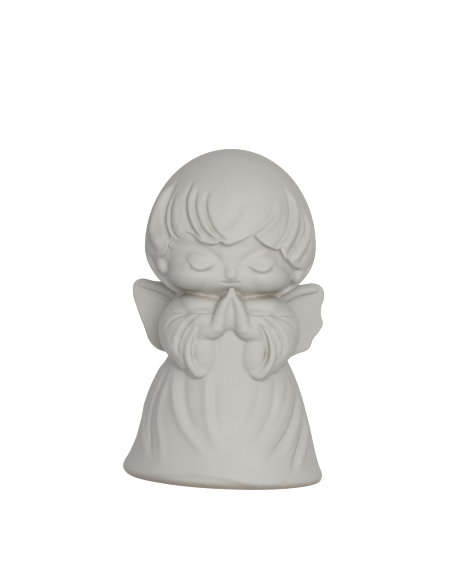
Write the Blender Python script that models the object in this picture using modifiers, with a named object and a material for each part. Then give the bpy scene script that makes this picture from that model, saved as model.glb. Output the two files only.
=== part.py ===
"""A praying child angel, cast in one piece in white stone.

The front faces -Y, the wings spread along X and the figure stands on its flat underside at z = 0.
Forms are laid together like clay and fused into one skin, and the locks, folds and features are carved
into it.
All of it is worked out in shares of the height: points, widths and depths are in two-hundredths of HEIGHT,
and the finished figure is scaled from them.
"""

import math

import bmesh
import bpy
import numpy as np
from mathutils import Matrix, Vector
from mathutils.bvhtree import BVHTree

# Driving sizes
HEIGHT = 0.200  # metres, from the table to the crown of the head
GRID = HEIGHT / 200  # metres in one unit of all the sizes below
WING_THICKNESS = 4.4
CLAY_GRAIN = 1.1  # cells that the forms are fused on
SMOOTHING_PASSES = 5
WORN_EDGE = 2.6  # how far the hair's lower edge is rounded off
WORN_PASSES = 8
TRIANGLES = 9400  # faces left in the finished solid
DETAIL_KEPT = 0.7  # how strongly the thinning spares the face and hands
STONE_COLOUR = (0.52, 0.505, 0.475, 1.0)
STONE_ROUGHNESS = 0.62

# The mass of hair: its middle, then its half-width, half-depth and height above and below its widest level
HEAD_MIDDLE = (0.8, -2.0, 140.5)
HAIR_SIZE = (52.0, 47.0, 59.5, 36.5)
UNDER_HAIR_SIZE = (49.0, 42.5, 54.0, 33.5)  # what shows where the hair is cut away
FACE_MIDDLE = -0.6
EYES_MIDDLE = 0.2
HANDS_MIDDLE = 0.9
BODY_MIDDLE = 0.4
WINGS_MIDDLE = 1.5
BODY_TURN = 0.045  # how much wider the body's right half shows than its left, because it is turned a little

# The lower edge of the hair seen from the front as (x, z): under the left side lock, along the fringe and
# under the right side lock, then down and round below the chin
FACE_OPENING = (
    (-70, 98),
    (-70, 139),
    (-52, 138.5),
    (-47, 135),
    (-42, 134),
    (-38.5, 137),
    (-36.5, 142),
    (-34.5, 146.5),
    (-30.5, 149.6),
    (-26.5, 151.2),
    (-23.5, 149.6),
    (-19, 146.4),
    (-14, 145),
    (-8.7, 145),
    (-6.6, 145.9),
    (-4, 144.9),
    (-0.7, 145.4),
    (5.3, 147.6),
    (10.2, 149.8),
    (12.8, 150.2),
    (15, 148),
    (18.5, 145.6),
    (22, 143.8),
    (25, 143),
    (28, 142.6),
    (29.6, 139.8),
    (31.5, 137),
    (34.2, 135.2),
    (36.4, 132.4),
    (40, 130.4),
    (45, 130.6),
    (49, 133.4),
    (53, 137),
    (70, 138),
    (70, 98),
)
FACE_OPENING_DEPTH = -12  # y to which the hair is cleared for the face

# The face, fringe and hands, where the finest lines are carved: z range, half-width and y at the back
FINE_HEIGHTS = (88, 156)
FINE_HALF_WIDTH = 40
FINE_DEPTH = -28

# The nose from its bridge to its tip
NOSE = ((0.1, -38.6, 137), (0.2, -39.6, 131.5), (0.3, -40.3, 127.6), (0.3, -39.8, 124.6))

# The face below and behind the fringe, as ovals from the throat up: z, left x, right x, front y, back y,
# turn of the oval in degrees, and its fullness (2 is an ellipse, more is boxier)
FACE_LEVELS = (
    (106, -20, 19, -29, 10, 0, 2.3),
    (112, -23, 22, -32.5, 10, 0, 2.4),
    (115.5, -26, 25, -35.5, 10, 0, 2.5),
    (117.6, -28.8, 27.8, -38.4, 10, 0, 2.5),
    (120, -32, 30.6, -41, 10, 0, 2.6),
    (123.6, -35.4, 33.4, -42.7, 10, 0, 2.7),
    (127.6, -37, 35, -43.1, 10, 0, 2.9),
    (132, -37.2, 35.8, -42.0, 10, 0, 3.0),
    (136, -37.4, 36.6, -41.6, 10, 0, 2.9),
    (139.5, -38.4, 38, -42.2, 10, 0, 2.3),
    (143.5, -39.6, 40, -43.8, 10, 0, 2.05),
    (147.5, -40.4, 42, -45.8, 10, 0, 2.05),
    (152, -40, 42, -47, 10, 0, 2.1),
    (157, -38, 40, -45, 10, 0, 2.2),
)

# The gown from the hem up, in the same way
GOWN_LEVELS = (
    (-4, -52, 58, -40, 42, -9, 2),
    (0, -58.4, 61.4, -45.5, 45, -9, 2),
    (3.5, -60.8, 62.2, -48.7, 47, -9, 2),
    (7, -59.8, 60.8, -49, 46.5, -9, 2),
    (12, -57.0, 58.8, -47.5, 45, -8, 2),
    (22, -53.0, 56.0, -45.5, 42, -7, 2),
    (32, -50.6, 53.4, -44, 39.5, -5, 2),
    (43, -47.8, 50.2, -42, 37, -4, 2),
    (54, -44.4, 46.6, -40.5, 34.5, -2, 2),
    (65, -39.5, 42.0, -38.8, 32, 0, 2),
    (75, -34.0, 37.0, -38.6, 30, 0, 2),
    (88, -30.0, 33.0, -39.2, 28, 0, 2),
    (98, -27.0, 30.0, -37.5, 26, 0, 2),
    (108, -23.0, 26.0, -29, 24, 0, 2),
    (115, -16.0, 19.0, -21, 18, 0, 2),
    (119, -10.0, 12.0, -13, 12, 0, 2),
)

# Outline of the left wing seen from the front, from its top edge round the tip and down to the waist
WING_OUTLINE = (
    (-12, 100),
    (-24, 112),
    (-36, 116),
    (-45, 116.6),
    (-53, 117.6),
    (-57, 115),
    (-57.8, 109),
    (-55, 99.5),
    (-50.5, 88.5),
    (-44.5, 76.5),
    (-36, 72.6),
    (-24, 72),
    (-12, 78),
)
# The right wing, whose edge is notched by three feathers
WING_OUTLINE_RIGHT = (
    (12, 100),
    (24, 112),
    (36, 115.6),
    (46, 117),
    (57, 117.4),
    (60.8, 113.5),
    (61.2, 108.6),
    (59.6, 103),
    (59.8, 97.5),
    (61.2, 93),
    (59, 88),
    (55.2, 83),
    (52.8, 77),
    (46, 74),
    (36, 70),
    (24, 70),
    (12, 78),
)


def keep_mesh(name, bm):
    """Stores a bmesh as a new object and returns the object."""
    mesh = bpy.data.meshes.new(name)
    bm.to_mesh(mesh)
    bm.free()
    form = bpy.data.objects.new(name, mesh)
    bpy.context.scene.collection.objects.link(form)
    return form


def ball(name, centre, radii, lean=0.0, pitch=0.0, fullness=2.0):
    """An ellipsoid, or a boxier form with a fullness above 2.

    lean turns it about the front-to-back axis and pitch about the side-to-side axis, in degrees.
    """
    bm = bmesh.new()
    bmesh.ops.create_uvsphere(bm, u_segments=48, v_segments=32, radius=1)
    for v in bm.verts:
        v.co /= sum(abs(c) ** fullness for c in v.co) ** (1 / fullness)
    place = (
        Matrix.Translation(Vector(centre))
        @ Matrix.Rotation(math.radians(lean), 4, "Y")
        @ Matrix.Rotation(math.radians(pitch), 4, "X")
        @ Matrix.Diagonal((*radii, 1.0))
    )
    bm.transform(place)
    return keep_mesh(name, bm)


def mesh_of(form):
    """Replaces an object by the mesh that its curve or its modifiers make, with caps welded on."""
    graph = bpy.context.evaluated_depsgraph_get()
    mesh = bpy.data.meshes.new_from_object(form.evaluated_get(graph))
    bm = bmesh.new()
    bm.from_mesh(mesh)
    bm.transform(form.matrix_world)
    bmesh.ops.remove_doubles(bm, verts=bm.verts, dist=0.02)
    bmesh.ops.recalc_face_normals(bm, faces=bm.faces)
    name = form.name
    bpy.data.objects.remove(form)
    bpy.data.meshes.remove(mesh)
    return keep_mesh(name, bm)


def limb(name, points, radii):
    """A round bar of changing thickness along a smooth curve."""
    data = bpy.data.curves.new(name, "CURVE")
    data.dimensions = "3D"
    data.bevel_depth = 1.0
    data.bevel_resolution = 5
    data.resolution_u = 8
    data.use_fill_caps = True
    spline = data.splines.new("BEZIER")
    spline.bezier_points.add(len(points) - 1)
    spline.radius_interpolation = "EASE"
    for knot, place, radius in zip(spline.bezier_points, points, radii):
        knot.co = place
        knot.handle_left_type = knot.handle_right_type = "AUTO"
        knot.radius = radius
    form = bpy.data.objects.new(name, data)
    bpy.context.scene.collection.objects.link(form)
    bpy.context.view_layer.update()
    return mesh_of(form)


def plate(name, outline, front, back):
    """A flat outline in the front view, smoothed and extruded from y = front to y = back."""
    data = bpy.data.curves.new(name, "CURVE")
    data.dimensions = "2D"
    data.fill_mode = "BOTH"
    data.extrude = (back - front) / 2
    data.resolution_u = 6
    spline = data.splines.new("BEZIER")
    spline.bezier_points.add(len(outline) - 1)
    for knot, (x, z) in zip(spline.bezier_points, outline):
        knot.co = (x, z, 0)
        knot.handle_left_type = knot.handle_right_type = "AUTO"
    spline.use_cyclic_u = True
    form = bpy.data.objects.new(name, data)
    bpy.context.scene.collection.objects.link(form)
    form.rotation_euler = (math.radians(90), 0, 0)
    form.location = (0, (front + back) / 2, 0)
    bpy.context.view_layer.update()
    return mesh_of(form)


def loft(name, rings):
    """A closed skin over rings of equal point counts, which are lists of points from the bottom up."""
    bm = bmesh.new()
    rows = [[bm.verts.new(p) for p in ring] for ring in rings]
    count = len(rows[0])
    for lower, upper in zip(rows, rows[1:]):
        for i in range(count):
            j = (i + 1) % count
            bm.faces.new((lower[i], lower[j], upper[j], upper[i]))
    bm.faces.new(reversed(rows[0]))
    bm.faces.new(rows[-1])
    return keep_mesh(name, bm)


def egg(name, middle, size):
    """An ellipsoid with different heights above and below its middle."""
    half_width, half_depth, above, below = size
    form = ball(name, (0, 0, 0), (1, 1, 1))
    for v in form.data.vertices:
        v.co.x = v.co.x * half_width + middle[0]
        v.co.y = v.co.y * half_depth + middle[1]
        v.co.z = v.co.z * (above if v.co.z > 0 else below) + middle[2]
    return form


def hair_mass():
    """The cap of hair, cleared in front for the face and the ears."""
    hair = egg("hair", HEAD_MIDDLE, HAIR_SIZE)
    opening = plate("face_opening", FACE_OPENING, -80, FACE_OPENING_DEPTH)
    cut = hair.modifiers.new("face opening", "BOOLEAN")
    cut.operation = "DIFFERENCE"
    cut.object = opening
    bpy.context.view_layer.update()
    opened = mesh_of(hair)
    bpy.data.objects.remove(opening)
    return opened


def head_forms():
    """Hair, face, nose, closed eyelids and ears."""
    forms = [
        hair_mass(),
        egg("under_hair", HEAD_MIDDLE, UNDER_HAIR_SIZE),
        oval_tower("face", FACE_LEVELS),
        limb("nose", NOSE, [3.4, 4.4, 5.2, 4.2]),
    ]
    for side in (-1, 1):
        forms += [
            ball("cheek", (FACE_MIDDLE + side * 18.5, -25.4, 127), (17.2, 18.2, 11.6)),
            ball("eyelid", (EYES_MIDDLE + side * 17.0, -35.4, 135.0), (10.4, 7.7, 7.4)),
            ball("ear", (HEAD_MIDDLE[0] + side * 40.3, -19.5, 129 - side * 1.5), (4, 5.4, 6.6), side * 14),
        ]
    return forms


def oval_tower(name, levels):
    """A closed skin over ovals from the bottom up, evenly rounded between the given levels."""
    rings = []
    for z, left, right, front, back, turn, fullness in smooth_curve(levels, 1.5):
        angle = math.radians(turn)
        ring = []
        for step in range(96):
            a = 2 * math.pi * step / 96
            x = (right - left) / 2 * math.copysign(abs(math.cos(a)) ** (2 / fullness), math.cos(a))
            y = (back - front) / 2 * math.copysign(abs(math.sin(a)) ** (2 / fullness), math.sin(a))
            ring.append(
                (
                    (left + right) / 2 + x * math.cos(angle) - y * math.sin(angle),
                    (front + back) / 2 + x * math.sin(angle) + y * math.cos(angle),
                    z,
                )
            )
        rings.append(ring)
    return loft(name, rings)


def body_x(side, x):
    """Where a point of the body at x from its middle lies, on the left (side -1) or the right (side 1)."""
    return BODY_MIDDLE + side * x * (1 + BODY_TURN * side)


def sleeve_forms(side):
    """Shoulder, sleeve and the hanging cuff with its rim and lining."""

    def place(x, y, z):
        return (body_x(side, x), y, z)

    drape = [(26, -22, 94), (25.5, -25, 86), (23, -27, 80.5), (20.5, -29, 75), (18, -32, 70.5)]
    rim = [
        (13, -39, 102.5),
        (17.2, -39.4, 98.5),
        (20.6, -39.4, 94),
        (23, -39.2, 89),
        (24.6, -39, 84),
        (24.8, -38.8, 79),
        (23.6, -38.8, 74.5),
        (21.2, -38.6, 70.4),
        (18, -37.8, 67.2),
        (14.4, -37, 68.6),
        (11.4, -36.4, 73.2),
        (9.2, -35.8, 79.4),
    ]
    return [
        ball("shoulder", place(23, -2, 103), (12.5, 16, 12.5)),
        ball("sleeve", place(22.8, -16, 91), (19.8, 24, 21.5)),
        ball("elbow", place(23, -19, 81), (14.5, 18.5, 12)),
        limb("drape", [place(*p) for p in drape], [14, 14.6, 13, 10.8, 7.4]),
        ball("cuff_tip", place(18, -32, 70.2), (7.4, 7.4, 7.4)),
        ball("collar", place(14, -17.2, 104.2), (16.5, 20.6, 10.4), fullness=3.0),
        ball("forearm", place(15, -30, 98.8), (14.5, 12.8, 10)),
        ball("wrist", place(15.5, -35, 92), (7, 7, 6.6)),
        ball("lining", place(15.2, -27, 81), (10.8, 14, 16.5), lean=side * 8, fullness=2.4),
        limb("rim", [place(*p) for p in rim], [1.0, 1.8, 2.3, 2.5, 2.6, 2.6, 2.6, 2.6, 2.4, 2.0, 1.5, 1.0]),
    ]


def hand_forms(side):
    """One hand of the pair, pressed against the other below the mouth."""

    def place(x, y, z):
        return (HANDS_MIDDLE + side * x, y, z)

    fingers = [
        (8.4, -40.4, 95),
        (6.9, -41.6, 99.5),
        (5.8, -42.6, 104),
        (4.2, -43.8, 109.5),
        (1.9, -44.9, 114),
        (0.9, -45.9, 117.6),
        (0.4, -46.4, 120),
    ]
    heel = [(5, -38.8, 98.5), (9.5, -38.8, 94.8), (15, -37.4, 93.2), (20, -34.8, 92)]
    return [
        limb("fingers", [place(*p) for p in fingers], [5.4, 4.7, 4.0, 3.0, 1.8, 1.3, 1.1]),
        limb("hand_back", [place(9, -34.6, 97), place(4.8, -37, 106), place(1.6, -40, 114)], [7.6, 5.0, 2.4]),
        limb("palm_heel", [place(*p) for p in heel], [5.2, 6.2, 5.6, 4.8]),
    ]


def thumb_forms():
    """The thumbs between the two hands, and behind them the palms and the stone left up to the chin."""
    thumbs = [(HANDS_MIDDLE, -41.0, 97), (HANDS_MIDDLE, -42.4, 103), (HANDS_MIDDLE, -43.6, 112)]
    return [
        ball("palms", (HANDS_MIDDLE, -38.2, 102.5), (6, 4.8, 9)),
        ball("behind_fingers", (HANDS_MIDDLE, -34, 111), (6, 7.5, 7)),
        limb("thumbs", thumbs, [1.8, 2.0, 1.4]),
    ]


def reskin(form, grain):
    """Covers a form with an even skin of cells of the given size."""
    skin = form.modifiers.new("skin", "REMESH")
    skin.mode = "VOXEL"
    skin.voxel_size = grain
    bpy.context.view_layer.update()
    return mesh_of(form)


def wing_form(name, outline):
    """A thin wing that sweeps back towards its tip."""
    wing = reskin(plate(name, outline, 18 - WING_THICKNESS / 2, 18 + WING_THICKNESS / 2), CLAY_GRAIN)
    for v in wing.data.vertices:
        v.co.y += wing_sweep(v.co.x)
    return wing


def wing_sweep(x):
    """How far back a wing has swept at x."""
    return 0.004 * max(0.0, abs(x) - 20) ** 2


def wing_forms():
    """Both wings, each with the rounded fold along its upper edge."""
    forms = [
        wing_form("wing_left", WING_OUTLINE),
        wing_form("wing_right", WING_OUTLINE_RIGHT),
    ]
    for side in (-1, 1):
        fold = [(16, 98), (28, 106.5), (38, 111.5), (47, 113.8), (55, 114.4)]
        path = [(WINGS_MIDDLE + side * x, 16 + wing_sweep(x), z) for x, z in fold]
        forms.append(limb("wing_fold", path, [6.5, 5.5, 4.2, 3.0, 1.8]))
    return forms


def fuse(forms, grain):
    """One closed skin over all the forms, with its creases and edges a little rounded."""
    bm = bmesh.new()
    for form in forms:
        bm.from_mesh(form.data)
        bpy.data.objects.remove(form)
    clay = reskin(keep_mesh("clay", bm), grain)
    soften = clay.modifiers.new("soften", "SMOOTH")
    soften.factor = 0.5
    soften.iterations = round(SMOOTHING_PASSES)
    bpy.context.view_layer.update()
    return mesh_of(clay)


def smooth_curve(points, spacing):
    """Points about every spacing along a smooth curve through the given ones."""
    knots = [np.array(p, float) for p in points]
    knots = [2 * knots[0] - knots[1], *knots, 2 * knots[-1] - knots[-2]]
    curve = []
    for a, b, c, d in zip(knots, knots[1:], knots[2:], knots[3:]):
        steps = max(2, int(np.linalg.norm(c - b) / spacing))
        for t in np.arange(steps) / steps:
            curve.append(
                0.5
                * (
                    2 * b
                    + (c - a) * t
                    + (2 * a - 5 * b + 4 * c - d) * t**2
                    + (3 * b - a - 3 * c + d) * t**3
                )
            )
    curve.append(knots[-2])
    return curve


def round_off(form, outline, reach, passes):
    """Wears down the front of a form along an outline drawn in the front view, within about reach of it."""
    mesh = form.data
    points = np.empty(len(mesh.vertices) * 3)
    mesh.vertices.foreach_get("co", points)
    points = points.reshape(-1, 3)
    flat = points[:, [0, 2]]
    distance = np.full(len(flat), np.inf)
    line = smooth_curve(outline, 3)
    for a, b in zip(line, line[1:]):
        run = b - a
        t = np.clip((flat - a) @ run / (run @ run), 0, 1)
        distance = np.minimum(distance, np.linalg.norm(flat - a - t[:, None] * run, axis=1))
    group = form.vertex_groups.new(name="worn edge")
    for index in np.flatnonzero((distance < 2 * reach) & (points[:, 1] < FACE_OPENING_DEPTH)):
        group.add([int(index)], math.exp(-((distance[index] / reach) ** 2)), "REPLACE")
    soften = form.modifiers.new("worn edge", "SMOOTH")
    soften.vertex_group = group.name
    soften.factor = 0.5
    soften.iterations = round(passes)
    bpy.context.view_layer.update()
    return mesh_of(form)


def split_finer(form):
    """Splits the cells of the face, fringe and hands, so that finer lines can be carved there."""
    bm = bmesh.new()
    bm.from_mesh(form.data)
    low, high = FINE_HEIGHTS
    fine = [
        e
        for e in bm.edges
        if all(v.co.y < FINE_DEPTH and low < v.co.z < high and abs(v.co.x) < FINE_HALF_WIDTH for v in e.verts)
    ]
    bmesh.ops.subdivide_edges(bm, edges=fine, cuts=1, use_grid_fill=True)
    bm.to_mesh(form.data)
    bm.free()
    return form


def on_front(points):
    """Where a stroke drawn in the front view starts and points, for each (x, z)."""
    for x, z in smooth_curve(points, 1.5):
        yield Vector((x, -90, z)), Vector((0, 1, 0))


def on_back(points):
    """The same for a stroke drawn on the back."""
    for x, z in smooth_curve(points, 1.5):
        yield Vector((x, 90, z)), Vector((0, -1, 0))


def round_head(points):
    """The same for a stroke on the hair, as (azimuth in degrees from the front, z)."""
    for azimuth, z in smooth_curve(points, 2):
        a = math.radians(azimuth)
        out = Vector((math.sin(a), -math.cos(a), 0))
        yield Vector((HEAD_MIDDLE[0], HEAD_MIDDLE[1], z)) + out * 90, -out


class Sculpture:
    """A fused skin and the strokes carved into it."""

    def __init__(self, form):
        self.form = form
        mesh = form.data
        self.points = np.empty(len(mesh.vertices) * 3)
        mesh.vertices.foreach_get("co", self.points)
        self.points = self.points.reshape(-1, 3)
        self.normals = np.empty(len(mesh.vertices) * 3)
        mesh.vertices.foreach_get("normal", self.normals)
        self.normals = self.normals.reshape(-1, 3)
        faces = [tuple(p.vertices) for p in mesh.polygons]
        self.tree = BVHTree.FromPolygons([Vector(p) for p in self.points], faces)
        self.moves = np.zeros(len(self.points))

    def stroke(self, rays, width, height, lift=0.0, reach=5.0, fades=(0.25, 0.25)):
        """A groove (height < 0) or ridge (height > 0) along the rays' landing points.

        lift raises the skin on one side of the stroke and lowers it on the other, fading out over reach: drawn
        downwards it raises the right side, and drawn to the right the upper side.
        fades are the shares of its length over which it begins and ends.
        """
        path = []
        for origin, direction in rays:
            place, _, _, _ = self.tree.ray_cast(origin, direction)
            if place is not None:
                path.append(np.array(place))
        path = np.array(path)
        margin = max(3 * width, 3 * reach if lift else 0)
        near = (self.points > path.min(0) - margin).all(1)
        near &= (self.points < path.max(0) + margin).all(1)
        index = np.flatnonzero(near)
        p = self.points[index]
        normals = self.normals[index]
        best = np.full(len(p), np.inf)
        along = np.zeros(len(p))
        side = np.zeros(len(p))
        for i, (a, b) in enumerate(zip(path, path[1:])):
            run = b - a
            t = np.clip((p - a) @ run / (run @ run), 0, 1)
            gap = p - a - t[:, None] * run
            distance = np.linalg.norm(gap, axis=1)
            closer = distance < best
            best[closer] = distance[closer]
            along[closer] = (i + t[closer]) / (len(path) - 1)
            across = np.cross(normals[closer], run)
            side[closer] = np.sign((gap[closer] * across).sum(1))
        fade = np.clip(np.minimum(along / fades[0], (1 - along) / fades[1]), 0, 1)
        fade = fade * fade * (3 - 2 * fade)
        shape = height * np.exp(-((best / width) ** 2))
        if lift:
            shape += lift * side * (1 - np.exp(-((best / width) ** 2))) * np.exp(-((best / reach) ** 2))
        self.moves[index] += fade * shape

    def finish(self):
        """Moves the skin by all the strokes and returns its object."""
        moved = self.points + self.normals * self.moves[:, None]
        self.form.data.vertices.foreach_set("co", moved.ravel())
        self.form.data.update()
        return self.form


# Strokes on the hair: points as (azimuth, z) from the crown down, width, height, and overlap of the right side
LOCKS = (
    (((-80, 176), (-81, 162), (-79, 152), (-72, 143), (-61, 137)), 3.0, -1.4, 0.0),
    (((-63, 183), (-66, 174), (-68, 165), (-68, 155), (-66, 149), (-60, 144.5), (-53, 141.5)), 4.0, 2.8, 0.0),
    (((-62, 184), (-63, 175), (-62, 167), (-60, 160), (-57, 154), (-53, 149), (-47, 144)), 1.9, -2.0, 0.0),
    (((-58, 171), (-56.5, 161), (-53.5, 155), (-50.5, 151), (-47, 148)), 1.3, 0.5, 0.0),
    (((-55, 175), (-55, 166), (-53, 160), (-50, 154), (-46, 149), (-42, 146)), 1.2, -1.2, 0.0),
    (((-50, 176), (-50, 167), (-47, 160), (-43, 154), (-38, 150)), 2.2, 0.7, 0.0),
    (((-42, 184), (-43, 175), (-41.5, 168), (-38, 161), (-34, 156), (-29, 151), (-23, 147.5)), 1.4, -1.6, 0.4),
    (((-38, 180), (-38, 171), (-35, 164), (-31, 158), (-26.5, 152.5), (-19, 148.5)), 2.0, 1.0, 0.0),
    (((-33.5, 180), (-34, 171), (-32, 165), (-28, 158.5), (-23.5, 153), (-17, 149), (-9, 147)), 1.2, -1.4, 0.3),
    (((-28.5, 176), (-28, 166), (-23, 158.5), (-17.5, 152.5), (-10, 149)), 1.7, 0.9, 0.0),
    (((-23, 179), (-24, 170), (-22, 163), (-18, 157), (-13, 151.5), (-8, 148.5), (-4, 146.5)), 1.3, -1.6, 0.5),
    (((5, 176), (4, 169), (1, 163), (-4, 158), (-10, 154)), 3.0, -0.7, 0.0),
    (((12, 172), (10, 164), (5, 158.5), (-1, 154)), 3.0, 0.6, 0.0),
    (((37, 172), (32, 164), (25, 159), (18, 154.5), (10, 150)), 2.0, -1.3, 0.0),
    (((41, 173), (35, 163), (28, 157), (20, 152.5), (13, 149.5)), 2.2, 1.2, 0.0),
    (((51, 183), (51, 172), (49, 165), (46, 159), (42, 153), (36, 147), (29, 142.5)), 1.5, -1.6, 0.6),
    (((55, 181), (54.5, 169), (52.5, 161), (48.5, 154.5), (43, 148), (36, 141.5)), 3.0, 2.0, 0.0),
    (((60, 174), (60, 164), (58, 157), (53, 150), (47, 143.5), (40, 137)), 2.0, -1.0, 0.0),
    (((64, 170), (65, 160), (63, 153.5), (57, 148), (50, 142), (43, 135)), 1.2, -1.2, 0.3),
    (((69, 164), (67, 154), (61, 147), (54, 141), (47, 135)), 2.4, 1.5, 0.0),
    (((77, 168), (75, 156), (70, 147), (62, 139.5), (53, 133.5)), 2.0, -1.1, 0.0),
)
BACK_LOCKS = range(98, 268, 17)

# The crisp edge of the fringe seen from the front as (x, z): its left part, then the right lock's end
FRINGE = ((-29, 150.8), (-25, 150), (-22, 148.4), (-19, 146.3), (-14, 145), (-8.7, 145), (-6.6, 146), (-4, 145))
FRINGE_MIDDLE = ((-8, 146.4), (-4.2, 144.8), (-0.7, 145.3), (5.3, 147.5), (10.2, 149.7), (14, 151.4))
RIGHT_LOCK = ((11.5, 151), (14.4, 148.6), (18, 146), (21.6, 144.1), (24.7, 142.9), (28, 142.8), (31, 144.6))
SIDE_LOCKS = (
    ((27.6, 143), (29.2, 140.8), (30.8, 137.8), (33.6, 135.8), (35.6, 133.5), (38.5, 131.2), (43, 130)),
    ((-34, 148), (-36.3, 144.5), (-36.6, 140.5), (-39, 136.4), (-43, 134.4), (-48, 135.4)),
)


def carve_hair(clay):
    """Locks of the fringe and sides, and plainer ones round the back."""
    for line, width, height, overlap in LOCKS:
        clay.stroke(round_head(line), width, height, lift=overlap, fades=(0.3, 0.15))
    for azimuth in BACK_LOCKS:
        line = [(azimuth, 184), (azimuth + 5, 166), (azimuth + 3, 146), (azimuth - 4, 120)]
        clay.stroke(round_head(line), 2.0, -1.3, lift=0.6)
    for line in (FRINGE, FRINGE_MIDDLE, RIGHT_LOCK):
        clay.stroke(on_front(line), 0.8, -1.1, lift=0.7, reach=3.0, fades=(0.2, 0.1))
    for line in SIDE_LOCKS:
        clay.stroke(on_front(line), 0.9, -1.0, fades=(0.1, 0.3))


def carve_face(clay):
    """Closed eyes, brows and mouth."""
    for side in (-1, 1):

        def mirrored(points):
            return on_front([(EYES_MIDDLE + side * x, z) for x, z in points])

        lashes = [
            (26.2, 134.2),
            (24.8, 132.3),
            (23, 130.6),
            (20.7, 129.5),
            (18.1, 129.1),
            (15.4, 129.5),
            (12.8, 130.5),
            (10.4, 131.6),
            (8, 132.5),
        ]
        brow = [(29, 140.6), (24, 141.8), (18.6, 141.6), (12.8, 139.6), (8.8, 137), (5.8, 133.4), (4.0, 128.5)]
        clay.stroke(mirrored(lashes), 0.6, -1.4, lift=-0.4 * side, reach=2.4, fades=(0.2, 0.3))
        clay.stroke(mirrored(brow), 2.6, -1.5, fades=(0.55, 0.35))
    mouth = [(-7, 123.2), (-3.9, 122.2), (-0.9, 121.9), (2.2, 122.1), (5, 122.6), (7, 123.2)]
    clay.stroke(on_front(mouth), 0.7, -1.2)


GOWN_FOLDS = (
    (((-34, 74), (-41, 62), (-46, 50), (-48.5, 38), (-48.5, 26), (-46, 12)), 2.6, 0.9),
    (((-32, 74), (-38, 60), (-42.5, 48), (-44.5, 36), (-44, 22), (-42, 10)), 2.0, -0.9),
    (((-30, 74), (-35, 60), (-38.5, 48), (-39.5, 36), (-37.5, 24), (-36, 8)), 2.6, 0.9),
    (((-29, 74), (-31, 60), (-29.5, 46), (-24, 34), (-15, 24), (-6, 16)), 3.0, 1.3),
    (((-24, 70), (-25, 56), (-22, 42), (-15, 31)), 2.4, -0.8),
    (((-11, 72), (-12, 58), (-11, 44), (-8, 32), (-1, 21)), 2.6, 1.0),
    (((-6, 66), (-7, 54), (-6, 42), (-2, 31)), 2.4, -0.5),
    (((44, 70), (44, 58), (43, 46), (39, 35), (33, 26), (24, 15)), 1.9, -1.7),
    (((39, 66), (39, 54), (35, 42), (28, 31), (20, 22)), 2.6, 0.8),
    (((47, 66), (48.5, 52), (48.8, 41), (47.5, 31), (44, 20), (40, 8)), 1.9, -1.6),
    (((50, 60), (51.5, 46), (51, 34), (49, 24), (45, 10)), 2.4, 1.2),
    (((46, 62), (46.5, 50), (44.5, 38), (40, 27), (34, 16)), 2.2, 0.7),
    (((29, 70), (29, 56), (27, 44), (22, 34), (15, 25)), 2.0, -0.8),
    (((34, 68), (34, 56), (31, 44), (25, 33)), 2.2, 0.6),
    (((20, 66), (19, 54), (15, 42), (9, 31), (2, 23)), 2.0, -0.6),
)
HEM_CREST = ((-52, 6), (-38, 7.2), (-26, 8.6), (-13.5, 9.2), (-1.5, 8.4), (8, 6.8), (16, 4.6), (25, 2.6))
HEM_CHIP = ((35.5, 5.2), (36.6, 4.0), (38.4, 2.6))


def carve_gown(clay):
    """Folds that sweep from under the sleeves, plainer ones down the back, and the hem turned under in front."""
    for line, width, height in GOWN_FOLDS:
        clay.stroke(on_front(line), width, height)
    for x in (-36, -22, -8, 7, 21, 35):
        clay.stroke(on_back([(x * 0.55, 66), (x * 0.8, 46), (x, 28), (x * 1.1, 10)]), 2.4, -1.2)
    clay.stroke(on_front(HEM_CREST), 2.2, 0.8, lift=0.9, reach=6.5, fades=(0.15, 0.3))
    clay.stroke(on_front(HEM_CHIP), 1.2, -0.5)


def carve_sleeves(clay):
    """Creases across the sleeves, and the hollow inside each cuff's rim."""
    for side in (-1, 1):

        def mirrored(points):
            return on_front([(body_x(side, x), z) for x, z in points])

        hollow = [(15.5, 100), (18.4, 95.5), (20.6, 90.5), (21.8, 85.5), (22, 80.5), (21, 76), (18.6, 72.4)]
        cuff_fold = [(17, 104.6), (22, 101.2), (26, 97.2), (28.8, 93), (30.8, 88), (31.6, 83), (31, 76)]
        cuff_ridge = [(24.5, 101), (28.8, 96.6), (32, 91.5), (33.8, 86.5), (34, 80)]
        crease = [(8, 105.2), (14, 104.3), (20.5, 104.2), (26.5, 103.8), (32.3, 103.2), (40, 102)]
        branch = [(22, 104), (28, 102.4), (33.5, 99.8), (37.5, 96.4), (39.5, 91)]
        clay.stroke(mirrored(hollow), 1.3, -0.9 - 0.3 * side, fades=(0.15, 0.25))
        clay.stroke(mirrored(cuff_fold), 1.2, -1.2)
        clay.stroke(mirrored(cuff_ridge), 1.6, 0.5)
        clay.stroke(mirrored(crease), 0.9, -0.9)
        clay.stroke(mirrored(branch), 1.1, -0.8)


def carve_wings(clay):
    """The crease under each wing's upper fold, and three feathers on its back."""
    for side in (-1, 1):

        def mirrored(points):
            return [(WINGS_MIDDLE + side * x, z) for x, z in points]

        clay.stroke(on_front(mirrored([(34, 101), (39, 106.5), (46, 109.5), (55, 111.5)])), 1.2, -0.9)
        for shift in (0, 9, 18):
            feather = [(34, 106 - shift), (43, 104 - shift), (52 - shift / 4, 97 - shift)]
            clay.stroke(on_back(mirrored(feather)), 1.4, -0.9)


def flat_underside(form):
    """Cuts the figure off level at the table."""
    bm = bmesh.new()
    bm.from_mesh(form.data)
    cut = bmesh.ops.bisect_plane(
        bm,
        geom=[*bm.verts, *bm.edges, *bm.faces],
        plane_co=(0, 0, 0),
        plane_no=(0, 0, -1),
        clear_outer=True,
    )
    rim = [e for e in cut["geom_cut"] if isinstance(e, bmesh.types.BMEdge)]
    bmesh.ops.triangle_fill(bm, edges=rim, use_beauty=True, normal=(0, 0, -1))
    bmesh.ops.recalc_face_normals(bm, faces=bm.faces)
    bm.to_mesh(form.data)
    bm.free()


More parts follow.
